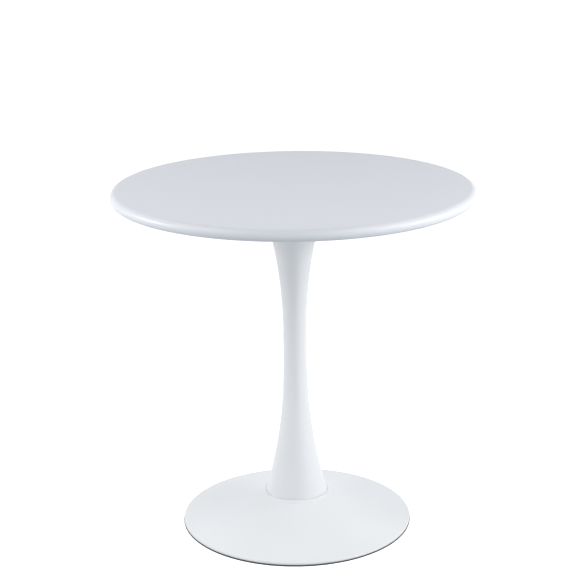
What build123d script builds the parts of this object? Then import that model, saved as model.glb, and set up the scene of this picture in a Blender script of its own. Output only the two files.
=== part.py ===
from build123d import *

import os
from math import cos, hypot, pi, radians, sin

# Round pedestal table: a lacquered MDF top on a spun-steel trumpet column, which stands
# on a wide spun-steel base. Millimetres, +Z up, Z = 0 at the floor, the column on Z.

# ---------------------------------------------------------------- driving dimensions
TABLE_HEIGHT = 749.0
TOP_DIAMETER = 762.0
TOP_THICKNESS = 25.0
BASE_DIAMETER = 500.0  # over the rubber ring
SEAT_HEIGHT = 66.0  # where the column stands on the base
SEAT_RADIUS = 69.0

COLUMN_FOOT_RADIUS = 66.0
COLUMN_NECK_RADIUS = 25.2
COLUMN_NECK_HEIGHT = 425.0
COLUMN_MOUTH_RADIUS = 68.0

# sheet and plate thicknesses
SPUN_SHEET = 1.5
WELDED_DISC = 4.0
WEIGHT_PLATE = 3.0
MOUNTING_PLATE = 4.0
RUBBER = 3.6

# the bolts of each joint: how many, and the radius of their circle
BASE_BOLTS, BASE_BOLT_CIRCLE = 4, 38.0
COLUMN_BOLTS, COLUMN_BOLT_CIRCLE = 4, 45.0
TOP_SCREWS, TOP_SCREW_CIRCLE = 8, 112.0

M8, M8_HOLE = 4.0, 4.5  # radii
M6, M6_HOLE = 3.0, 3.5
THREAD_ROOM = 0.1  # round a bolt in its nut or insert
PRESS_ROOM = 0.1  # round an insert in its hole
CENTRE_HOLE = 12.0  # radius of the hole in the middle of the plates
WASHER = 1.6  # thickness of every washer

# ---------------------------------------------------------------- heights from these
TOP_UNDERSIDE = TABLE_HEIGHT - TOP_THICKNESS
COLUMN_TOP = TOP_UNDERSIDE - MOUNTING_PLATE
SEAT_UNDERSIDE = SEAT_HEIGHT - SPUN_SHEET
WEIGHT_UNDERSIDE = SEAT_UNDERSIDE - WEIGHT_PLATE

UPWARDS = (Align.CENTER, Align.CENTER, Align.MIN)
DOWNWARDS = (Align.CENTER, Align.CENTER, Align.MAX)
CURVE_STEPS = 12  # points along a spun outline


# ---------------------------------------------------------------- shared shapes
def at_height(z, shape):
    return Pos(0, 0, z) * shape


def ring(inner, outer, bottom, height):
    """A flat ring with square edges."""
    disc = Cylinder(outer, height, align=UPWARDS) - Cylinder(inner, height, align=UPWARDS)
    return at_height(bottom, disc)


def revolved(*lines):
    """A solid of revolution about Z from a closed outline in the XZ plane."""
    return revolve(make_face(Wire(list(lines))), Axis.Z)


def around(shape, count, radius):
    """Copies of a shape modelled on Z, set round a circle."""
    return [place * shape for place in PolarLocations(radius, count)]


def drilled(body, radius, bottom, depth, count, circle):
    """A body with a circle of round holes through it."""
    hole = at_height(bottom, Cylinder(radius, depth, align=UPWARDS))
    for each in around(hole, count, circle):
        body -= each
    return body


def key_socket(across_flats, bottom, depth):
    """The recess for a hexagon key."""
    hexagon = RegularPolygon(across_flats / 2, 6, major_radius=False)
    return at_height(bottom, extrude(hexagon, depth))


def spring_washer(inner, outer, bottom):
    """One square turn of spring wire with a slanting cut."""
    cut = Pos(outer, 0, bottom + WASHER / 2) * Rot(30, 0, 0) * Box(outer, 0.9, 3 * WASHER)
    return ring(inner, outer, bottom, WASHER) - cut


# ---------------------------------------------------------------- the spun outlines
def flare(share, turn, power):
    """How far a spun trumpet has opened: 0 at its neck and 1 at its rim.

    turn says how far the curve has swung back towards upright at the rim.
    """
    return ((1 - cos(pi * turn * share)) / (1 - cos(pi * turn))) ** power


def column_radius(z):
    """Outer radius of the column: a bell below the neck and a trumpet above it."""
    if z < COLUMN_NECK_HEIGHT:
        share = (COLUMN_NECK_HEIGHT - z) / (COLUMN_NECK_HEIGHT - SEAT_HEIGHT)
        opening = COLUMN_FOOT_RADIUS - COLUMN_NECK_RADIUS
        return COLUMN_NECK_RADIUS + opening * flare(share, 0.6, 1.6)
    share = (z - COLUMN_NECK_HEIGHT) / (COLUMN_TOP - COLUMN_NECK_HEIGHT)
    opening = COLUMN_MOUTH_RADIUS - COLUMN_NECK_RADIUS
    return COLUMN_NECK_RADIUS + opening * flare(share, 0.2, 1.05)


# The base's edge stands in a groove of the rubber ring, RUBBER_FLOOR above the floor.
RUBBER_FLOOR = 1.4
RUBBER_LIP = 0.6  # outside the edge
GROOVE_ROOM = 0.2
SHELL_RADIUS = BASE_DIAMETER / 2 - RUBBER_LIP - GROOVE_ROOM
RIM_HEIGHT = 7.8
RIM_CORNER = 2.6
FLARE_OUTER = SHELL_RADIUS - RIM_CORNER
FLARE_INNER = SEAT_RADIUS + 2.5
FLARE_TOP = SEAT_HEIGHT - 2.5
OUTER_SLOPE = 0.16  # rise per millimetre beside the rim
FLARE_WIDTH = FLARE_OUTER - FLARE_INNER
FLARE_RISE = FLARE_TOP - RIM_HEIGHT - OUTER_SLOPE * FLARE_WIDTH


def base_point(r, depth):
    """A point of the base's flare, depth below its outer face and square to it."""
    share = (FLARE_OUTER - r) / FLARE_WIDTH
    height = RIM_HEIGHT + OUTER_SLOPE * (FLARE_OUTER - r) + FLARE_RISE * share**3
    slope = OUTER_SLOPE + 3 * FLARE_RISE / FLARE_WIDTH * share**2
    return (r - depth * slope / hypot(slope, 1), 0, height - depth / hypot(slope, 1))


def base_curve(first, last, depth):
    """Points along the base's flare between two radii."""
    step = (last - first) / CURVE_STEPS
    return [base_point(first + step * i, depth) for i in range(CURVE_STEPS + 1)]


# ---------------------------------------------------------------- the top
INSERT_RADIUS = 4.75
INSERT_LENGTH = 13.0
INSERT_HOLE_DEPTH = 16.0


def table_top():
    """MDF disc with a full round edge, and blind holes for the threaded inserts."""
    edge = TOP_THICKNESS / 2
    flat = TOP_DIAMETER / 2 - edge
    edge_middle = (flat + edge, 0, TOP_UNDERSIDE + edge)
    disc = revolved(
        Line((0, 0, TOP_UNDERSIDE), (flat, 0, TOP_UNDERSIDE)),
        ThreePointArc((flat, 0, TOP_UNDERSIDE), edge_middle, (flat, 0, TABLE_HEIGHT)),
        Line((flat, 0, TABLE_HEIGHT), (0, 0, TABLE_HEIGHT)),
        Line((0, 0, TABLE_HEIGHT), (0, 0, TOP_UNDERSIDE)),
    )
    hole_radius = INSERT_RADIUS + PRESS_ROOM
    return drilled(
        disc, hole_radius, TOP_UNDERSIDE, INSERT_HOLE_DEPTH, TOP_SCREWS, TOP_SCREW_CIRCLE
    )


def threaded_inserts():
    """M6 inserts pressed into the top from below, flush with its underside."""
    insert = ring(M6 + THREAD_ROOM, INSERT_RADIUS, TOP_UNDERSIDE, INSERT_LENGTH)
    return around(insert, TOP_SCREWS, TOP_SCREW_CIRCLE)


PLATE_RADIUS = 130.0
COUNTERSINK = 3.9  # depth, and how much wider than the bolt it is


def mounting_plate():
    """Round steel plate between the column and the top, drilled for both sets of bolts."""
    plate = ring(CENTRE_HOLE, PLATE_RADIUS, COLUMN_TOP, MOUNTING_PLATE)
    outer_edges = plate.edges().filter_by(GeomType.CIRCLE).sort_by(SortBy.RADIUS)[-2:]
    plate = fillet(outer_edges, 0.8)
    plate = drilled(plate, M6_HOLE, COLUMN_TOP, MOUNTING_PLATE, TOP_SCREWS, TOP_SCREW_CIRCLE)
    plate = drilled(plate, M8_HOLE, COLUMN_TOP, MOUNTING_PLATE, COLUMN_BOLTS, COLUMN_BOLT_CIRCLE)
    sink = Cone(M8_HOLE, M8_HOLE + COUNTERSINK, COUNTERSINK, align=DOWNWARDS)
    for each in around(at_height(TOP_UNDERSIDE, sink), COLUMN_BOLTS, COLUMN_BOLT_CIRCLE):
        plate -= each
    return plate


def plate_bolts():
    """M8 x 20 countersunk bolts that hold the plate on the column, flush with the plate."""
    head = Cone(M8, M8 + COUNTERSINK, COUNTERSINK, align=DOWNWARDS)
    bolt = at_height(TOP_UNDERSIDE, head + Cylinder(M8, 20.0, align=DOWNWARDS))
    bolt -= key_socket(5.0, TOP_UNDERSIDE - 2.5, 2.5)
    return around(bolt, COLUMN_BOLTS, COLUMN_BOLT_CIRCLE)


def top_washers():
    """Flat washers against the plate's underside."""
    washer = ring(M6 + 0.2, 6.0, COLUMN_TOP - WASHER, WASHER)
    return around(washer, TOP_SCREWS, TOP_SCREW_CIRCLE)


def top_spring_washers():
    """Spring washers between the screw heads and the flat washers."""
    washer = spring_washer(M6 + 0.15, 5.4, COLUMN_TOP - 2 * WASHER)
    return around(washer, TOP_SCREWS, TOP_SCREW_CIRCLE)


def top_screws():
    """M6 x 16 button-head screws, driven up through the plate into the inserts."""
    head_radius, crown_radius, brim, head_height = 5.25, 2.9, 0.5, 3.3
    seat = COLUMN_TOP - 2 * WASHER
    crown = seat - head_height
    shoulder = (4.45, 0, seat - 2.2)
    head = revolved(
        Line((0, 0, seat), (head_radius, 0, seat)),
        Line((head_radius, 0, seat), (head_radius, 0, seat - brim)),
        ThreePointArc((head_radius, 0, seat - brim), shoulder, (crown_radius, 0, crown)),
        Line((crown_radius, 0, crown), (0, 0, crown)),
        Line((0, 0, crown), (0, 0, seat)),
    )
    screw = head + at_height(seat, Cylinder(M6, 16.0, align=UPWARDS)) - key_socket(4.0, crown, 2.0)
    return around(screw, TOP_SCREWS, TOP_SCREW_CIRCLE)


# ---------------------------------------------------------------- the column
def column_curve(inset):
    """Points up the column from its foot to its mouth, moved inwards by inset."""
    step = (COLUMN_TOP - SEAT_HEIGHT) / CURVE_STEPS
    heights = [SEAT_HEIGHT + step * i for i in range(CURVE_STEPS + 1)]
    return [(column_radius(z) - inset, 0, z) for z in heights]


def column_shell():
    """One spun-steel skin, open at both ends."""
    outer, inner = column_curve(0.0), column_curve(SPUN_SHEET)
    return revolved(
        Spline(outer),
        Line(outer[-1], inner[-1]),
        Spline(inner),
        Line(inner[0], outer[0]),
    )


def welded_disc(bottom, bolts, bolt_circle):
    """A disc that closes one end of the column, drilled for its bolts."""
    weld_gap, centre_hole = 0.25, 10.0
    top = bottom + WELDED_DISC
    bottom_radius = column_radius(bottom) - SPUN_SHEET - weld_gap
    top_radius = column_radius(top) - SPUN_SHEET - weld_gap
    disc = revolved(
        Line((centre_hole, 0, bottom), (bottom_radius, 0, bottom)),
        Line((bottom_radius, 0, bottom), (top_radius, 0, top)),
        Line((top_radius, 0, top), (centre_hole, 0, top)),
        Line((centre_hole, 0, top), (centre_hole, 0, bottom)),
    )
    return drilled(disc, M8_HOLE, bottom, WELDED_DISC, bolts, bolt_circle)


def column_top_disc():
    return welded_disc(COLUMN_TOP - WELDED_DISC, COLUMN_BOLTS, COLUMN_BOLT_CIRCLE)


def column_foot_disc():
    return welded_disc(SEAT_HEIGHT, BASE_BOLTS, BASE_BOLT_CIRCLE)


NUT_HEIGHT = 6.5


def weld_nut(bottom):
    """An M8 hexagon nut, welded over a hole of a disc inside the column."""
    hexagon = RegularPolygon(6.5, 6, major_radius=False) - Circle(M8 + THREAD_ROOM)
    return at_height(bottom, extrude(hexagon, NUT_HEIGHT))


def column_top_nuts():
    nut = weld_nut(COLUMN_TOP - WELDED_DISC - NUT_HEIGHT)
    return around(nut, COLUMN_BOLTS, COLUMN_BOLT_CIRCLE)


def column_foot_nuts():
    return around(weld_nut(SEAT_HEIGHT + WELDED_DISC), BASE_BOLTS, BASE_BOLT_CIRCLE)


# ---------------------------------------------------------------- the base
def base_shell():
    """Spun-steel dish: a flat seat, a flare, and a rounded rim with a turned-down edge."""
    outer = base_curve(FLARE_INNER, FLARE_OUTER, 0.0)
    inner = base_curve(FLARE_INNER, FLARE_OUTER, SPUN_SHEET)
    inner_radius = SHELL_RADIUS - SPUN_SHEET
    corner_foot = RIM_HEIGHT - RIM_CORNER
    eighth_turn = radians(45)
    corner_middle = (
        FLARE_OUTER + RIM_CORNER * sin(eighth_turn),
        0,
        corner_foot + RIM_CORNER * cos(eighth_turn),
    )
    seat_corner = (SEAT_RADIUS + 1.6, 0, SEAT_HEIGHT - 0.8)
    shell = revolved(
        Line((CENTRE_HOLE, 0, SEAT_HEIGHT), (SEAT_RADIUS, 0, SEAT_HEIGHT)),
        ThreePointArc((SEAT_RADIUS, 0, SEAT_HEIGHT), seat_corner, outer[0]),
        Spline(outer),
        ThreePointArc(outer[-1], corner_middle, (SHELL_RADIUS, 0, corner_foot)),
        Line((SHELL_RADIUS, 0, corner_foot), (SHELL_RADIUS, 0, RUBBER_FLOOR)),
        Line((SHELL_RADIUS, 0, RUBBER_FLOOR), (inner_radius, 0, RUBBER_FLOOR)),
        Line((inner_radius, 0, RUBBER_FLOOR), (inner_radius, 0, corner_foot)),
        Line((inner_radius, 0, corner_foot), inner[-1]),
        Spline(inner),
        Line(inner[0], (SEAT_RADIUS - 1.0, 0, SEAT_UNDERSIDE)),
        Line((SEAT_RADIUS - 1.0, 0, SEAT_UNDERSIDE), (CENTRE_HOLE, 0, SEAT_UNDERSIDE)),
        Line((CENTRE_HOLE, 0, SEAT_UNDERSIDE), (CENTRE_HOLE, 0, SEAT_HEIGHT)),
    )
    return drilled(shell, M8_HOLE, SEAT_UNDERSIDE, SPUN_SHEET, BASE_BOLTS, BASE_BOLT_CIRCLE)


def weight_plate():
    """Pressed steel dish under the shell: it stiffens the base and weighs it down."""
    seat_edge, flare_start, flare_end = 63.0, 75.0, 208.0
    flange_start, flange_end = 222.0, 238.0
    under_seat_edge, under_flange_start = seat_edge - 0.7, flange_start - 0.4
    flange_top = RUBBER + WEIGHT_PLATE
    depth = SPUN_SHEET + 0.8  # clear of the shell all the way down
    outer = base_curve(flare_start, flare_end, depth)
    inner = base_curve(flare_start, flare_end, depth + WEIGHT_PLATE)
    dish = revolved(
        Line((CENTRE_HOLE, 0, SEAT_UNDERSIDE), (seat_edge, 0, SEAT_UNDERSIDE)),
        Line((seat_edge, 0, SEAT_UNDERSIDE), outer[0]),
        Spline(outer),
        Line(outer[-1], (flange_start, 0, flange_top)),
        Line((flange_start, 0, flange_top), (flange_end, 0, flange_top)),
        Line((flange_end, 0, flange_top), (flange_end, 0, RUBBER)),
        Line((flange_end, 0, RUBBER), (under_flange_start, 0, RUBBER)),
        Line((under_flange_start, 0, RUBBER), inner[-1]),
        Spline(inner),
        Line(inner[0], (under_seat_edge, 0, WEIGHT_UNDERSIDE)),
        Line((under_seat_edge, 0, WEIGHT_UNDERSIDE), (CENTRE_HOLE, 0, WEIGHT_UNDERSIDE)),
        Line((CENTRE_HOLE, 0, WEIGHT_UNDERSIDE), (CENTRE_HOLE, 0, SEAT_UNDERSIDE)),
    )
    return drilled(dish, M8_HOLE, WEIGHT_UNDERSIDE, WEIGHT_PLATE, BASE_BOLTS, BASE_BOLT_CIRCLE)


def rubber_ring():
    """Flat rubber ring on the floor, with a groove that grips the base's edge."""
    whole = ring(228.0, BASE_DIAMETER / 2, 0.0, RUBBER)
    groove_inner = SHELL_RADIUS - SPUN_SHEET - GROOVE_ROOM
    groove_outer = SHELL_RADIUS + GROOVE_ROOM
    return whole - ring(groove_inner, groove_outer, RUBBER_FLOOR, RUBBER - RUBBER_FLOOR)


def base_washers():
    """Flat washers under the weight plate's seat."""
    washer = ring(M8 + 0.2, 8.0, WEIGHT_UNDERSIDE - WASHER, WASHER)
    return around(washer, BASE_BOLTS, BASE_BOLT_CIRCLE)


def base_spring_washers():
    """Spring washers between the bolt heads and the flat washers."""
    washer = spring_washer(M8 + 0.15, 6.8, WEIGHT_UNDERSIDE - 2 * WASHER)
    return around(washer, BASE_BOLTS, BASE_BOLT_CIRCLE)


def base_bolts():
    """M8 x 20 socket-head bolts, driven up through the base into the column's foot."""
    head_height = 8.0
    head = Cylinder(6.5, head_height, align=DOWNWARDS)
    head = chamfer(head.edges().sort_by(Axis.Z)[0], 0.6)
    head -= key_socket(6.0, -head_height, 4.0)
    bolt = head + Cylinder(M8, 20.0, align=UPWARDS)
    return around(at_height(WEIGHT_UNDERSIDE - 2 * WASHER, bolt), BASE_BOLTS, BASE_BOLT_CIRCLE)


# ---------------------------------------------------------------- one file for each node
NODES = [
    table_top,
    threaded_inserts,
    mounting_plate,
    plate_bolts,
    top_washers,
    top_spring_washers,
    top_screws,
    column_shell,
    column_top_disc,
    column_top_nuts,
    column_foot_disc,
    column_foot_nuts,
    base_shell,
    weight_plate,
    rubber_ring,
    base_washers,
    base_spring_washers,
    base_bolts,
]

os.makedirs("parts", exist_ok=True)
for node in NODES:
    made = node()
    if isinstance(made, list):
        made = Compound(children=made)
    export_step(made, f"parts/{node.__name__}.step")
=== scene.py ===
import math

import bpy
from mathutils import Euler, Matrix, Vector


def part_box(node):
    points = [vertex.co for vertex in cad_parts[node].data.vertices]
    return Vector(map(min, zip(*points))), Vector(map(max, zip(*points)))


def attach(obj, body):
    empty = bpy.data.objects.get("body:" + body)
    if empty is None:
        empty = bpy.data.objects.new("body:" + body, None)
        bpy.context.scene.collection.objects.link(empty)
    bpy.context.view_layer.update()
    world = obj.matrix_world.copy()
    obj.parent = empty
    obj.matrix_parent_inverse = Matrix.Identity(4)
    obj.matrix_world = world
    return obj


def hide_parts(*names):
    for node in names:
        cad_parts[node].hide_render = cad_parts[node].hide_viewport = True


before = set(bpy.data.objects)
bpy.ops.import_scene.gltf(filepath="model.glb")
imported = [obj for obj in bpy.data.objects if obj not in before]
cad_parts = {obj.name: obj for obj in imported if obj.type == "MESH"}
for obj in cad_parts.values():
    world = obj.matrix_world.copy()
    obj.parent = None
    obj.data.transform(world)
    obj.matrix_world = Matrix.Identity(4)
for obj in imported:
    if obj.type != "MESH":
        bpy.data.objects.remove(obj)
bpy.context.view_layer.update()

# ---------------------------------------------------------------- rubber ring
# A flat ring of black rubber that the whole table stands on. It is moulded in one piece with
# ribs on its sole, and its groove is pushed over the turned-down edge of the base.
ring_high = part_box("rubber_ring")[1]
ring_outer, ring_inner, ring_height = ring_high.x, 0.228, ring_high.z
groove_outer, groove_inner, groove_floor = 0.2494, 0.2475, 0.0014
ring_round, lip_round = 0.0004, 0.0001
rib_pitch, rib_depth, rib_count, first_rib = 0.003, 0.0005, 5, ring_inner + 0.003


def turned(name, outline, sides, ends="joined"):
    """A body of revolution, pulled from a circle along its outline of (radius, height) points.

    Its two ends are joined to each other round a hollow, or filled on the axis.
    """
    bpy.ops.object.select_all(action="DESELECT")
    radius, height = outline[0]
    bpy.ops.mesh.primitive_circle_add(vertices=sides, radius=radius, location=(0, 0, height))
    piece = bpy.context.object
    piece.name = piece.data.name = name
    bpy.ops.object.transform_apply(location=True)
    bpy.ops.object.mode_set(mode="EDIT")
    bpy.ops.mesh.select_all(action="SELECT")
    for next_radius, next_height in outline[1:]:
        rise = (0, 0, next_height - height)
        bpy.ops.mesh.extrude_edges_move(TRANSFORM_OT_translate={"value": rise})
        share = next_radius / radius
        bpy.ops.transform.resize(value=(share, share, 1), center_override=(0, 0, next_height))
        radius, height = next_radius, next_height
    bpy.ops.mesh.select_mode(type="EDGE")
    bpy.ops.mesh.select_all(action="DESELECT")
    bpy.ops.mesh.select_non_manifold()
    if ends == "joined":
        bpy.ops.mesh.bridge_edge_loops()
    else:
        bpy.ops.mesh.fill_holes(sides=0)
        bpy.ops.mesh.select_mode(type="FACE")
        bpy.ops.mesh.select_all(action="DESELECT")
        bpy.ops.mesh.select_face_by_sides(number=4, type="GREATER")
        bpy.ops.mesh.poke()
    bpy.ops.mesh.select_mode(type="VERT")
    bpy.ops.mesh.select_all(action="SELECT")
    bpy.ops.mesh.normals_make_consistent(inside=False)
    bpy.ops.object.mode_set(mode="OBJECT")
    return piece


def finished(piece, paint, *nodes, slot, crease=35):
    """Gives a piece its shading and material, and puts it in the place of its CAD nodes."""
    bpy.ops.object.select_all(action="DESELECT")
    piece.select_set(True)
    bpy.context.view_layer.objects.active = piece
    bpy.ops.object.shade_smooth_by_angle(angle=math.radians(crease))
    piece.data.materials.clear()
    piece.data.materials.append(paint)
    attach(piece, "root")
    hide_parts(*nodes)


sole = []
for rib in range(rib_count):
    start = first_rib + rib * rib_pitch
    sole += [
        (start, 0.0),
        (start + 0.3 * rib_pitch, rib_depth),
        (start + 0.6 * rib_pitch, rib_depth),
        (start + 0.9 * rib_pitch, 0.0),
    ]
ring_outline = [
    (ring_inner, ring_round),
    (ring_inner + ring_round, 0.0),
    *sole,
    (ring_outer - ring_round, 0.0),
    (ring_outer, ring_round),
    (ring_outer, ring_height - ring_round),
    (ring_outer - ring_round, ring_height),
    (groove_outer + lip_round, ring_height),
    (groove_outer, ring_height - lip_round),
    (groove_outer, groove_floor),
    (groove_inner, groove_floor),
    (groove_inner, ring_height),
    (ring_inner + ring_round, ring_height),
    (ring_inner, ring_height - ring_round),
]
rubber_ring = turned("rubber_ring_moulded", ring_outline, sides=256)


class Value:
    """A number in a material. Arithmetic on it adds the Math nodes that work it out."""

    def __init__(self, paint, socket):
        self.paint, self.socket = paint, socket

    def math(self, operation, *others):
        values = dict(enumerate([self, *others]))
        return self.paint.node("ShaderNodeMath", {"operation": operation}, values)

    def __add__(self, other):
        return self.math("ADD", other)

    def __sub__(self, other):
        return self.math("SUBTRACT", other)

    def __mul__(self, other):
        return self.math("MULTIPLY", other)

    def __pow__(self, other):
        return self.math("POWER", other)

    def __rsub__(self, other):
        return self.paint.node("ShaderNodeMath", {"operation": "SUBTRACT"}, {0: other, 1: self})

    __radd__, __rmul__ = __add__, __mul__

    def between(self, low, high):
        """0 up to low, 1 from high on, and a smooth step from one to the other."""
        settings = {"interpolation_type": "SMOOTHSTEP"}
        values = {"Value": self, "From Min": low, "From Max": high}
        return self.paint.node("ShaderNodeMapRange", settings, values)


class Paint:
    """A material in the making. node() adds one node and gives back one of its outputs."""

    def __init__(self, name):
        self.material = bpy.data.materials.new(name)
        self.material.use_nodes = True
        self.nodes = self.material.node_tree.nodes
        self.links = self.material.node_tree.links
        self.place = self.node("ShaderNodeTexCoord", output="Object")
        self.x, self.y, self.z = (
            self.node("ShaderNodeSeparateXYZ", {}, {"Vector": self.place}, axis) for axis in "XYZ"
        )
        self.radius = (self.x * self.x + self.y * self.y) ** 0.5
        self.angle = self.y.math("ARCTAN2", self.x)

    def node(self, kind, settings={}, values={}, output=0):
        node = self.nodes.new(kind)
        for name, setting in settings.items():
            setattr(node, name, setting)
        self.set(node, values)
        return Value(self, node.outputs[output])

    def set(self, node, values):
        for name, value in values.items():
            if isinstance(value, Value):
                self.links.new(value.socket, node.inputs[name])
            else:
                node.inputs[name].default_value = value

    def noise(self, size, detail=2.0, place=None):
        """Cloudy noise from 0 to 1 whose blots are about size metres across."""
        values = {"Vector": place or self.place, "Scale": 1 / size, "Detail": detail}
        return self.node("ShaderNodeTexNoise", {}, values)

    def point(self, x, y, z):
        return self.node("ShaderNodeCombineXYZ", {}, {"X": x, "Y": y, "Z": z})

    def mix(self, share, first, second):
        """One colour turning into another as share goes from 0 to 1."""
        values = {0: share, 6: first, 7: second}
        return self.node("ShaderNodeMix", {"data_type": "RGBA"}, values, output=2)

    def finish(self, height, depth, **sockets):
        """Sets the shader, with a relief of that depth in metres."""
        shader = self.nodes["Principled BSDF"]
        relief = self.node("ShaderNodeBump", {}, {"Height": height, "Distance": depth})
        values = {name.replace("_", " "): value for name, value in sockets.items()}
        self.set(shader, {**values, "Normal": relief})
        return self.material


def black_rubber():
    """Moulded rubber: a fine grain, a grey bloom, and floor dust on what is close to it."""
    paint = Paint("black_rubber")
    grain = paint.noise(0.0006, detail=3.0)
    bloom = paint.noise(0.02, detail=4.0)
    dust = (1 - paint.z.between(0.0, 0.003)) * paint.noise(0.004).between(0.45, 0.7)
    colour = paint.mix(bloom, (0.035, 0.035, 0.038, 1), (0.07, 0.07, 0.074, 1))
    colour = paint.mix(dust * 0.25, colour, (0.20, 0.195, 0.19, 1))
    roughness = 0.55 + bloom * 0.2 + dust * 0.15
    return paint.finish(grain + bloom * 0.5, 0.00004, Base_Color=colour, Roughness=roughness)


finished(rubber_ring, black_rubber(), "rubber_ring", slot="black_rubber")

# ---------------------------------------------------------------- base shell
# The wide foot that shows: a dish spun from 1.5 mm steel sheet over a form, with a flat seat,
# a flare, and a rounded rim whose edge is turned down. It is powder-coated satin white.
shell_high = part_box("base_shell")[1]
shell_radius, seat_height = shell_high.x, shell_high.z
spun_sheet, turned_edge_round = 0.0015, 0.0003
seat_radius, seat_corner, seat_round, seat_round_end = 0.069, 0.0025, 0.0045, 58
centre_hole, outside_bolts = 0.012, 0.045
bolt_circle, bolt_hole, bolt_count = 0.038, 0.0045, 4
drill_overrun = 0.003
rim_height, rim_corner = 0.0078, 0.0026
outer_slope = 0.16
flare_outer, flare_inner = shell_radius - rim_corner, seat_radius + seat_corner
flare_width = flare_outer - flare_inner
flare_rise = seat_height - seat_corner - rim_height - outer_slope * flare_width


def flare_point(radius, depth=0.0):
    """A point of the flare, depth below its outer face and square to it."""
    share = (flare_outer - radius) / flare_width
    height = rim_height + outer_slope * (flare_outer - radius) + flare_rise * share**3
    slope = outer_slope + 3 * flare_rise / flare_width * share**2
    length = math.hypot(slope, 1)
    return radius - depth * slope / length, height - depth / length


def steps(first, last, count):
    """Evenly spaced numbers from first to last."""
    return [first + (last - first) * i / count for i in range(count + 1)]


def arc(middle, radius, start, end, count):
    """Points of an outline's arc, from one angle to another in degrees."""
    turns = [math.radians(degrees) for degrees in steps(start, end, count)]
    return [(middle[0] + radius * math.cos(t), middle[1] + radius * math.sin(t)) for t in turns]


def tidied(piece):
    """Merges the doubled corners and removes the slivers that a cut leaves in a piece."""
    smallest = 0.000002
    bpy.ops.object.select_all(action="DESELECT")
    piece.select_set(True)
    bpy.context.view_layer.objects.active = piece
    bpy.ops.object.mode_set(mode="EDIT")
    bpy.ops.mesh.select_all(action="SELECT")
    bpy.ops.mesh.remove_doubles(threshold=smallest)
    bpy.ops.mesh.dissolve_degenerate(threshold=smallest)
    bpy.ops.object.mode_set(mode="OBJECT")
    return piece


def drilled(piece, radius, circle, count, low, high):
    """Drills a circle of round holes into a piece, from one height to another."""
    drills = []
    for i in range(count):
        turn = 2 * math.pi * i / count
        middle = (circle * math.cos(turn), circle * math.sin(turn), (low + high) / 2)
        bpy.ops.object.select_all(action="DESELECT")
        bpy.ops.mesh.primitive_cylinder_add(
            vertices=32, radius=radius, depth=high - low, location=middle
        )
        drills.append(bpy.context.object)
    for drill in drills:
        drill.select_set(True)
    bpy.ops.object.join()
    drill = bpy.context.object
    cut = piece.modifiers.new("holes", "BOOLEAN")
    cut.operation, cut.solver, cut.object = "DIFFERENCE", "EXACT", drill
    bpy.ops.object.select_all(action="DESELECT")
    bpy.context.view_layer.objects.active = piece
    bpy.ops.object.modifier_apply(modifier="holes")
    bpy.data.objects.remove(drill)
    return tidied(piece)


flare_start = flare_inner + 0.0012
shell_outline = [
    (centre_hole, seat_height),
    (outside_bolts, seat_height),
    (seat_radius - 0.002, seat_height),
    *arc((seat_radius, seat_height - seat_round), seat_round, 90, seat_round_end, 6),
    *[flare_point(radius) for radius in steps(flare_start, flare_outer, 56)],
    *arc((flare_outer, rim_height - rim_corner), rim_corner, 78, 0, 6),
    (shell_radius, groove_floor + turned_edge_round),
    (shell_radius - turned_edge_round, groove_floor),
    (shell_radius - spun_sheet, groove_floor),
    (shell_radius - spun_sheet, rim_height - rim_corner),
    *[flare_point(radius, spun_sheet) for radius in steps(flare_outer, flare_inner, 40)],
    (seat_radius - 0.001, seat_height - spun_sheet),
    (outside_bolts, seat_height - spun_sheet),
    (centre_hole, seat_height - spun_sheet),
]
base_shell = turned("base_shell_spun", shell_outline, sides=256)
drill_low, drill_high = seat_height - spun_sheet - drill_overrun, seat_height + drill_overrun
drilled(base_shell, bolt_hole, bolt_circle, bolt_count, drill_low, drill_high)


def powder_coat(name, scuffs=0.0):
    """Satin white powder coat: slow changes in the film, orange peel, and faint scuffs."""
    paint = Paint(name)
    film = paint.noise(0.11, detail=2.0)
    swell = paint.noise(0.012, detail=1.0)
    peel = paint.noise(0.0024, detail=2.0)
    around = paint.point(paint.radius * 90, paint.angle * 1.6, paint.z * 90)
    rub = paint.noise(0.35, detail=5.0, place=around).between(0.62, 0.72)
    low = 1 - paint.z.between(0.012, 0.05)
    scuff = rub * low * scuffs
    colour = paint.mix(film, (0.80, 0.815, 0.835, 1), (0.825, 0.84, 0.85, 1))
    colour = paint.mix(scuff, colour, (0.62, 0.62, 0.62, 1))
    roughness = 0.31 + film * 0.06 + peel * 0.05 + scuff * 0.3
    relief = peel * 0.6 + swell - scuff * 0.4
    return paint.finish(relief, 0.00005, Base_Color=colour, Roughness=roughness)


base_coat = powder_coat("white_powder_coat_base", scuffs=0.12)
finished(base_shell, base_coat, "base_shell", slot="white_powder_coat")

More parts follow.
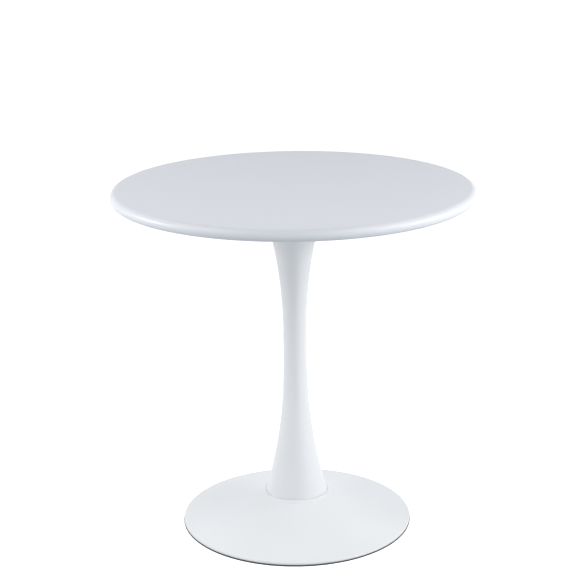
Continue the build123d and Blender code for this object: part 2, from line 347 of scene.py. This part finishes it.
# ---------------------------------------------------------------- weight plate
# A dish pressed from 3 mm steel, bolted up under the shell's seat. It stiffens the foot, and
# its weight keeps the table from tipping. It has one coat of black primer.
weight_low, weight_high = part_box("weight_plate")
weight_sheet, under_shell, sheared_edge = 0.003, 0.0023, 0.0006
weight_seat, weight_radius, flange_bottom = weight_high.z, weight_high.x, weight_low.z
weight_underside, flange_top = weight_seat - weight_sheet, flange_bottom + weight_sheet
dish_inner, dish_outer = 0.075, 0.208
dish_radii = steps(dish_inner, dish_outer, 30)
weight_outline = [
    (centre_hole, weight_seat),
    (outside_bolts, weight_seat),
    (0.063, weight_seat),
    *[flare_point(radius, under_shell) for radius in dish_radii],
    (0.222, flange_top),
    (weight_radius - sheared_edge, flange_top),
    (weight_radius, flange_top - sheared_edge),
    (weight_radius, flange_bottom + sheared_edge),
    (weight_radius - sheared_edge, flange_bottom),
    (0.2216, flange_bottom),
    *[flare_point(radius, under_shell + weight_sheet) for radius in reversed(dish_radii)],
    (0.0623, weight_underside),
    (outside_bolts, weight_underside),
    (centre_hole, weight_underside),
]
weight_plate = turned("weight_plate_pressed", weight_outline, sides=192)
drill_low, drill_high = weight_underside - drill_overrun, weight_seat + drill_overrun
drilled(weight_plate, bolt_hole, bolt_circle, bolt_count, drill_low, drill_high)


def black_primer():
    """Thin primer on pressed steel: brush strokes, a fine grain, and a little rust at the flange."""
    paint = Paint("black_primer")
    cloud = paint.noise(0.05, detail=4.0)
    spray = paint.noise(0.0012, detail=2.0)
    turned_by_hand = paint.point(paint.radius * 40, paint.angle * 0.8, 0.0)
    strokes = paint.noise(0.30, detail=4.0, place=turned_by_hand).between(0.40, 0.66)
    flange = paint.radius.between(0.215, 0.236)
    rust = paint.noise(0.006, detail=6.0).between(0.58, 0.7) * flange
    colour = paint.mix(cloud, (0.022, 0.022, 0.025, 1), (0.060, 0.060, 0.064, 1))
    colour = paint.mix(strokes * 0.5, colour, (0.085, 0.085, 0.088, 1))
    colour = paint.mix(rust, colour, (0.13, 0.055, 0.028, 1))
    roughness = 0.40 + cloud * 0.25 + strokes * 0.12 + rust * 0.25
    relief = spray * 0.5 + cloud + strokes * 0.6 + rust * 2
    return paint.finish(relief, 0.00008, Base_Color=colour, Roughness=roughness)


finished(weight_plate, black_primer(), "weight_plate", slot="black_primer")

# ---------------------------------------------------------------- base bolts and washers
# Four M8 socket-head bolts go up through the weight plate and the shell into the column's
# foot, each with a spring washer and a flat washer. All are zinc-plated steel.
washer_thickness = 0.0016
m8_hole, m8_washer_radius, m8_spring_hole, m8_spring_radius = 0.0042, 0.008, 0.00415, 0.0068
tip_radius, socket_depth, key_overrun = 0.001, 0.004, 0.001


def copied_round(piece, count, circle):
    """Moves a piece from the axis out to a circle, with a copy at every further place."""
    name = piece.name
    copies = []
    for i in range(count):
        turn = 2 * math.pi * i / count
        bpy.ops.object.select_all(action="DESELECT")
        piece.select_set(True)
        bpy.context.view_layer.objects.active = piece
        bpy.ops.object.duplicate()
        copy = bpy.context.object
        copy.location = (circle * math.cos(turn), circle * math.sin(turn), 0)
        copy.rotation_euler = (0, 0, turn)
        copies.append(copy)
    bpy.data.objects.remove(piece)
    for copy in copies:
        copy.select_set(True)
    bpy.context.view_layer.objects.active = copies[0]
    bpy.ops.object.join()
    joined = bpy.context.object
    joined.name = name
    bpy.ops.object.transform_apply(location=True, rotation=True)
    return joined


def cut_socket(piece, across_flats, low, high, mouth):
    """Cuts the recess for a hexagon key on the axis, with a small chamfer at its mouth."""
    bpy.ops.object.select_all(action="DESELECT")
    bpy.ops.mesh.primitive_cylinder_add(
        vertices=6,
        radius=across_flats / 2 / math.cos(math.radians(30)),
        depth=high - low,
        location=(0, 0, (low + high) / 2),
    )
    key = bpy.context.object
    bpy.ops.object.select_all(action="DESELECT")
    bpy.ops.mesh.primitive_cone_add(
        vertices=48,
        radius1=across_flats * 0.64,
        radius2=across_flats * 0.42,
        depth=across_flats * 0.2,
        location=(0, 0, mouth + across_flats * 0.06),
    )
    chamfer = bpy.context.object
    for cutter in (key, chamfer):
        cut = piece.modifiers.new("socket", "BOOLEAN")
        cut.operation, cut.solver, cut.object = "DIFFERENCE", "EXACT", cutter
        bpy.ops.object.select_all(action="DESELECT")
        bpy.context.view_layer.objects.active = piece
        bpy.ops.object.modifier_apply(modifier="socket")
    for cutter in (key, chamfer):
        bpy.data.objects.remove(cutter)
    tidied(piece)


def thread(radius, pitch, low, high):
    """The outline of a bolt's thread from one height up to another."""
    root = radius - 0.6 * pitch
    crests = [low + pitch * (i + 0.5) for i in range(int((high - low) / pitch))]
    points = []
    for crest in crests:
        points += [
            (root, crest - 0.45 * pitch),
            (radius, crest - 0.06 * pitch),
            (radius, crest + 0.06 * pitch),
        ]
    return points


m8_radius, m8_pitch, bolt_length, bolt_shank = 0.004, 0.00125, 0.020, 0.006
head_radius, head_height, head_round, head_across_flats = 0.0065, 0.008, 0.0006, 0.006
bolt_seat = weight_underside - 2 * washer_thickness
head_low, bolt_end = bolt_seat - head_height, bolt_seat + bolt_length
bolt_outline = [
    (tip_radius, head_low),
    (head_radius - head_round, head_low),
    (head_radius, head_low + head_round),
    (head_radius, bolt_seat - 0.0004),
    (head_radius - 0.0003, bolt_seat),
    (m8_radius + 0.0002, bolt_seat),
    (m8_radius, bolt_seat + 0.0003),
    *thread(m8_radius, m8_pitch, bolt_seat + bolt_shank, bolt_end - 0.001),
    (m8_radius - 0.0006, bolt_end - 0.0002),
    (tip_radius, bolt_end),
]
base_bolt = turned("base_bolts_zinc", bolt_outline, sides=72, ends="filled")

# the straight knurl round the head: every other edge of it is pushed in
knurl_pitch, knurl_depth = 5, 0.035
bpy.ops.object.select_all(action="DESELECT")
base_bolt.select_set(True)
bpy.context.view_layer.objects.active = base_bolt
for vertex in base_bolt.data.vertices:
    on_head = math.hypot(vertex.co.x, vertex.co.y) > head_radius - 0.00005
    turn = math.degrees(math.atan2(vertex.co.y, vertex.co.x))
    place_round = round(turn / knurl_pitch)
    vertex.select = on_head and place_round % 2 == 0
for edge in base_bolt.data.edges:
    edge.select = False
for face in base_bolt.data.polygons:
    face.select = False
bpy.ops.object.mode_set(mode="EDIT")
pushed_in = 1 - knurl_depth
bpy.ops.transform.resize(value=(pushed_in, pushed_in, 1), center_override=(0, 0, 0))
bpy.ops.object.mode_set(mode="OBJECT")
key_low, key_high = head_low - key_overrun, head_low + socket_depth
cut_socket(base_bolt, head_across_flats, key_low, key_high, head_low)
base_bolts = copied_round(base_bolt, bolt_count, bolt_circle)


def split_washer(name, inner, outer, low):
    """A spring washer: one turn of square spring wire with a slanting cut."""
    high = low + washer_thickness
    edge, slit = 0.00015, 0.0009
    outline = [
        (inner, low + edge),
        (inner + edge, low),
        (outer - edge, low),
        (outer, low + edge),
        (outer, high - edge),
        (outer - edge, high),
        (inner + edge, high),
        (inner, high - edge),
    ]
    washer = turned(name, outline, sides=64)
    bpy.ops.object.select_all(action="DESELECT")
    bpy.ops.mesh.primitive_cube_add(size=1, location=(outer, 0, (low + high) / 2))
    saw = bpy.context.object
    saw.scale = (outer, slit, 3 * washer_thickness)
    saw.rotation_euler = (math.radians(30), 0, 0)
    bpy.ops.object.transform_apply(location=True, rotation=True, scale=True)
    cut = washer.modifiers.new("split", "BOOLEAN")
    cut.operation, cut.solver, cut.object = "DIFFERENCE", "EXACT", saw
    bpy.ops.object.select_all(action="DESELECT")
    bpy.context.view_layer.objects.active = washer
    bpy.ops.object.modifier_apply(modifier="split")
    bpy.data.objects.remove(saw)
    return washer


def flat_washer(name, inner, outer, low):
    """A stamped washer: its lower edge is rolled over by the die."""
    high = low + washer_thickness
    hole_edge, rolled = 0.0002, 0.0003
    outline = [
        (inner, low + hole_edge),
        (inner + hole_edge, low),
        *arc((outer - rolled, low + rolled), rolled, 270, 360, 3),
        (outer, high),
        (inner, high),
    ]
    return turned(name, outline, sides=64)


base_spring = split_washer(
    "base_spring_washers_zinc", m8_spring_hole, m8_spring_radius, bolt_seat
)
base_springs = copied_round(base_spring, bolt_count, bolt_circle)
washer_low = weight_underside - washer_thickness
base_washer = flat_washer("base_washers_zinc", m8_hole, m8_washer_radius, washer_low)
base_washers = copied_round(base_washer, bolt_count, bolt_circle)


def zinc_plate():
    """Bright zinc with a passivated film: faint yellow and blue blots, and a fine grain."""
    paint = Paint("zinc_plated_steel")
    blot = paint.noise(0.004, detail=3.0)
    grain = paint.noise(0.0004, detail=3.0)
    colour = paint.mix(blot.between(0.35, 0.65), (0.60, 0.61, 0.64, 1), (0.68, 0.66, 0.58, 1))
    roughness = 0.27 + blot * 0.16 + grain * 0.05
    return paint.finish(grain + blot, 0.00001, Base_Color=colour, Roughness=roughness, Metallic=1.0)


zinc = zinc_plate()
finished(base_bolts, zinc, "base_bolts", slot="zinc_plated_steel", crease=25)
finished(base_springs, zinc, "base_spring_washers", slot="zinc_plated_steel", crease=25)
finished(base_washers, zinc, "base_washers", slot="zinc_plated_steel", crease=25)

# ---------------------------------------------------------------- column
# One spun-steel skin, a bell that narrows to a neck and a trumpet above it. It is welded from
# two spinnings, ground flush and powder-coated satin white, so that no seam is left to see.
column_low, column_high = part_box("column_shell")
column_foot, column_mouth = column_low.z, column_high.z
foot_radius, neck_radius, mouth_radius = 0.066, 0.0252, column_high.x
neck_height = 0.425


def flare(share, turn, power):
    """How far a spun trumpet has opened: 0 at its neck and 1 at its rim."""
    return ((1 - math.cos(math.pi * turn * share)) / (1 - math.cos(math.pi * turn))) ** power


def column_radius(height):
    if height < neck_height:
        share = (neck_height - height) / (neck_height - column_foot)
        return neck_radius + (foot_radius - neck_radius) * flare(share, 0.6, 1.6)
    share = (height - neck_height) / (column_mouth - neck_height)
    return neck_radius + (mouth_radius - neck_radius) * flare(share, 0.2, 1.05)


foot_round = 0.0008
column_outline = [
    (column_radius(column_foot) - foot_round, column_foot),
    (column_radius(column_foot) - 0.3 * foot_round, column_foot + 0.3 * foot_round),
    *[(column_radius(z), z) for z in steps(column_foot + foot_round, column_mouth, 110)],
    *[(column_radius(z) - spun_sheet, z) for z in steps(column_mouth, column_foot, 60)],
]
column = turned("column_shell_spun", column_outline, sides=160)
column_coat = powder_coat("white_powder_coat_column")
finished(column, column_coat, "column_shell", slot="white_powder_coat")

# ---------------------------------------------------------------- discs and nuts in the column
# A steel disc is welded into each end of the skin, with four nuts welded over its holes. They
# are closed in for good when the table is put together, and stay bare.


def bare_steel():
    """Hot-rolled steel: a cloudy grey skin, fine grit, and straw-coloured weld heat."""
    paint = Paint("bare_steel")
    skin = paint.noise(0.03, detail=5.0)
    grit = paint.noise(0.0008, detail=3.0)
    heat = paint.radius.between(0.05, 0.064) * paint.noise(0.01).between(0.3, 0.6)
    colour = paint.mix(skin, (0.30, 0.30, 0.32, 1), (0.45, 0.44, 0.43, 1))
    colour = paint.mix(heat, colour, (0.42, 0.30, 0.16, 1))
    roughness = 0.35 + skin * 0.25
    return paint.finish(grit + skin, 0.00004, Base_Color=colour, Roughness=roughness, Metallic=0.9)


steel = bare_steel()
for node in ("column_foot_disc", "column_foot_nuts", "column_top_disc", "column_top_nuts"):
    for material_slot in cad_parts[node].material_slots:
        material_slot.material = steel

# ---------------------------------------------------------------- mounting plate
# A 4 mm steel disc, laser-cut and powder-coated. Four countersunk bolts join it to the column
# from above before the top goes on, and lie flush with it.
plate_low, plate_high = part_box("mounting_plate")
plate_radius, plate_under, plate_top = plate_high.x, plate_low.z, plate_high.z
plate_edge, inside_screws = 0.0008, 0.06
screw_circle, screw_hole, screw_count = 0.112, 0.0035, 8
pocket_circle, pocket_radius, pocket_count, pocket_floor = 0.045, 0.0080, 4, 0.0001
plate_outline = [
    (centre_hole, plate_under),
    (inside_screws, plate_under),
    *arc((plate_radius - plate_edge, plate_under + plate_edge), plate_edge, 270, 360, 4),
    *arc((plate_radius - plate_edge, plate_top - plate_edge), plate_edge, 0, 90, 4),
    (inside_screws, plate_top),
    (centre_hole, plate_top),
]
mounting_plate = turned("mounting_plate_cut", plate_outline, sides=128)
drill_low, drill_high = plate_under - drill_overrun, plate_top + drill_overrun
drilled(mounting_plate, screw_hole, screw_circle, screw_count, drill_low, drill_high)
drill_low = plate_under + pocket_floor
drilled(mounting_plate, pocket_radius, pocket_circle, pocket_count, drill_low, drill_high)
finished(mounting_plate, column_coat, "mounting_plate", slot="white_powder_coat")
for material_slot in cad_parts["plate_bolts"].material_slots:
    material_slot.material = zinc

# ---------------------------------------------------------------- table top
# A 25 mm disc of MDF with its edge turned to a full half round, sealed, sanded and sprayed with
# satin white lacquer all over. Brass inserts are pressed into eight blind holes below.
top_low, top_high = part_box("table_top")
top_radius, top_under, top_face = top_high.x, top_low.z, top_high.z
edge_radius = (top_face - top_under) / 2
flat_radius = top_radius - edge_radius
insert_hole, insert_depth = 0.00485, 0.016
rings_below, rings_above = (0.02, 0.09, 0.135, 0.25), (0.33, 0.25, 0.15, 0.06, 0.02)
top_outline = [
    *[(radius, top_under) for radius in rings_below],
    *arc((flat_radius, top_under + edge_radius), edge_radius, 270, 450, 32),
    *[(radius, top_face) for radius in rings_above],
]
table_top = turned("table_top_turned", top_outline, sides=320, ends="filled")
drill_low, drill_high = top_under - drill_overrun, top_under + insert_depth
drilled(table_top, insert_hole, screw_circle, screw_count, drill_low, drill_high)


def top_lacquer():
    """Sprayed satin lacquer: near flat on the face, thinner and rougher on the underside."""
    paint = Paint("top_lacquer")
    film = paint.noise(0.16, detail=2.0)
    peel = paint.noise(0.0035, detail=2.0)
    nibs = paint.noise(0.0025, detail=0.0).between(0.74, 0.8)
    wiped = paint.noise(0.25, detail=4.0, place=paint.point(paint.x * 3, paint.y * 26, paint.z))
    under = 1 - paint.z.between(top_under + 0.0002, top_under + 0.0022)
    fibres = paint.noise(0.0007, detail=4.0, place=paint.point(paint.x, paint.y * 0.4, paint.z))
    colour = paint.mix(film, (0.735, 0.755, 0.80, 1), (0.755, 0.775, 0.81, 1))
    raw = paint.mix(fibres.between(0.3, 0.7), (0.66, 0.66, 0.655, 1), (0.73, 0.735, 0.735, 1))
    colour = paint.mix(under, colour, raw)
    roughness = 0.36 + wiped * 0.06 + film * 0.04 + under * 0.2
    relief = peel * 0.5 + film + nibs * 0.6 + under * fibres * 1.5
    return paint.finish(relief, 0.00004, Base_Color=colour, Roughness=roughness)


finished(table_top, top_lacquer(), "table_top", slot="top_lacquer")


def brass():
    """Turned brass, dulled by handling."""
    paint = Paint("brass_insert")
    dull = paint.noise(0.003, detail=4.0)
    tool = paint.node(
        "ShaderNodeTexWave", {"bands_direction": "Z"}, {"Vector": paint.place, "Scale": 900.0}, "Fac"
    )
    colour = paint.mix(dull, (0.72, 0.52, 0.22, 1), (0.50, 0.36, 0.17, 1))
    return paint.finish(tool, 0.00002, Base_Color=colour, Roughness=0.25 + dull * 0.2, Metallic=1.0)


insert_brass = brass()
for material_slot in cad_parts["threaded_inserts"].material_slots:
    material_slot.material = insert_brass

# ---------------------------------------------------------------- top screws and washers
# Eight M6 button-head screws hold the top, driven up through the plate into the inserts. Each
# has a spring washer and a flat washer, all zinc-plated.
m6_radius, m6_pitch, screw_length, screw_shank = 0.003, 0.001, 0.016, 0.006
button_radius, crown_radius, button_height, brim = 0.00525, 0.0029, 0.0033, 0.0005
button_across_flats, button_socket_depth = 0.004, 0.002
m6_hole, m6_washer_radius, m6_spring_hole, m6_spring_radius = 0.0032, 0.006, 0.00315, 0.0054
screw_seat = plate_under - 2 * washer_thickness
crown_low, screw_end = screw_seat - button_height, screw_seat + screw_length
button_side = [
    (
        crown_radius + (button_radius - crown_radius) * math.sin(math.radians(turn)),
        crown_low + (button_height - brim) * (1 - math.cos(math.radians(turn))),
    )
    for turn in steps(0, 90, 8)
]
screw_outline = [
    (tip_radius, crown_low),
    *button_side,
    (button_radius, screw_seat),
    (m6_radius, screw_seat),
    (m6_radius, screw_seat + screw_shank),
    *thread(m6_radius, m6_pitch, screw_seat + screw_shank, screw_end - 0.001),
    (m6_radius - 0.0006, screw_end - 0.0003),
    (tip_radius, screw_end),
]
top_screw = turned("top_screws_zinc", screw_outline, sides=48, ends="filled")
key_low, key_high = crown_low - key_overrun, crown_low + button_socket_depth
cut_socket(top_screw, button_across_flats, key_low, key_high, crown_low)
top_screws = copied_round(top_screw, screw_count, screw_circle)
top_spring = split_washer(
    "top_spring_washers_zinc", m6_spring_hole, m6_spring_radius, screw_seat
)
top_springs = copied_round(top_spring, screw_count, screw_circle)
washer_low = plate_under - washer_thickness
top_washer = flat_washer("top_washers_zinc", m6_hole, m6_washer_radius, washer_low)
top_washers = copied_round(top_washer, screw_count, screw_circle)
finished(top_screws, zinc, "top_screws", slot="zinc_plated_steel", crease=25)
finished(top_springs, zinc, "top_spring_washers", slot="zinc_plated_steel", crease=25)
finished(top_washers, zinc, "top_washers", slot="zinc_plated_steel", crease=25)

# ---------------------------------------------------------------- studio
# A pale floor far wider than the view, soft boxes at both sides and in front, and pale light
# from all round. The sky stands in for what the floor would throw back up at the table.
floor_radius = 40
lamp_distance, lamp_aim = 2.8, Vector((0, 0, 0.45))
camera_down, camera_roll = 16.3, -0.76
bpy.ops.object.select_all(action="DESELECT")
bpy.ops.mesh.primitive_circle_add(vertices=96, radius=floor_radius, fill_type="NGON")
floor = bpy.context.object
floor.name = "floor"


def floor_paint():
    """Seamless paper, a little uneven, lit through from below."""
    paint = Paint("floor_paper")
    cloud = paint.noise(0.9, detail=2.0)
    colour = paint.mix(cloud, (0.93, 0.93, 0.93, 1), (0.95, 0.95, 0.95, 1))
    values = {
        "Base_Color": colour,
        "Roughness": 0.9,
        "Emission_Color": (1, 1, 1, 1),
        "Emission_Strength": 0.72,
        "Specular_IOR_Level": 0.1,
    }
    return paint.finish(cloud, 0.0001, **values)


floor.data.materials.append(floor_paint())
floor.visible_diffuse = floor.visible_glossy = False


class Sky(Paint):
    """The light that comes from every direction, as nodes on the world."""

    def __init__(self, name):
        world = bpy.data.worlds.new(name)
        world.use_nodes = True
        bpy.context.scene.world = world
        self.nodes, self.links = world.node_tree.nodes, world.node_tree.links
        self.direction = self.node("ShaderNodeTexCoord", output="Generated")

    def towards(self, *direction):
        """1 in that direction, falling to 0 square to it and behind it."""
        settings, values = {"operation": "DOT_PRODUCT"}, {0: self.direction, 1: direction}
        return self.node("ShaderNodeVectorMath", settings, values, "Value").math("MAXIMUM", 0.0)


sky = Sky("studio")
above = sky.towards(0, 0, 1).between(0.0, 0.02)
front, back = sky.towards(0, -1, 0.15), sky.towards(0, 1, 0.15)
strength = 0.55 * (1 - above) + 0.14 * above + 0.43 * front**2 + 0.86 * back**2
sky.set(sky.nodes["Background"], {"Color": (0.92, 0.955, 1.0, 1), "Strength": strength})


def soft_box(name, azimuth, elevation, width, height, watts):
    """An area light that faces the middle of the column, from so many degrees round and up."""
    light = bpy.data.lights.new(name, "AREA")
    light.shape, light.size, light.size_y, light.energy = "RECTANGLE", width, height, watts
    light.color = (1.0, 0.995, 0.985)
    lamp = bpy.data.objects.new(name, light)
    bpy.context.scene.collection.objects.link(lamp)
    turn = Euler((math.radians(90 - elevation), 0, math.radians(azimuth)))
    lamp.rotation_euler = turn
    lamp.location = lamp_aim + turn.to_matrix() @ Vector((0, 0, lamp_distance))


soft_box("left_front", -55, 38, 1.2, 1.2, 16)
soft_box("right_front", 54, 38, 1.2, 1.2, 16)
soft_box("left_strip", -90, 17, 1.2, 0.6, 33)
soft_box("right_strip", 90, 17, 1.2, 0.6, 27)
soft_box("right_front_strip", 66, 18, 1.2, 0.6, 19)
soft_box("left_high", -90, 58, 1.2, 1.2, 6)

camera_data = bpy.data.cameras.new("camera")
camera_data.sensor_width = 36
camera_data.lens = 96.0
camera = bpy.data.objects.new("camera", camera_data)
bpy.context.scene.collection.objects.link(camera)
camera.location = (-0.0165, -3.115, 1.4409)
camera.rotation_mode = "ZYX"
camera.rotation_euler = (math.radians(90 - camera_down), 0, math.radians(camera_roll))
bpy.context.scene.camera = camera
bpy.context.scene.view_settings.view_transform = "Standard"
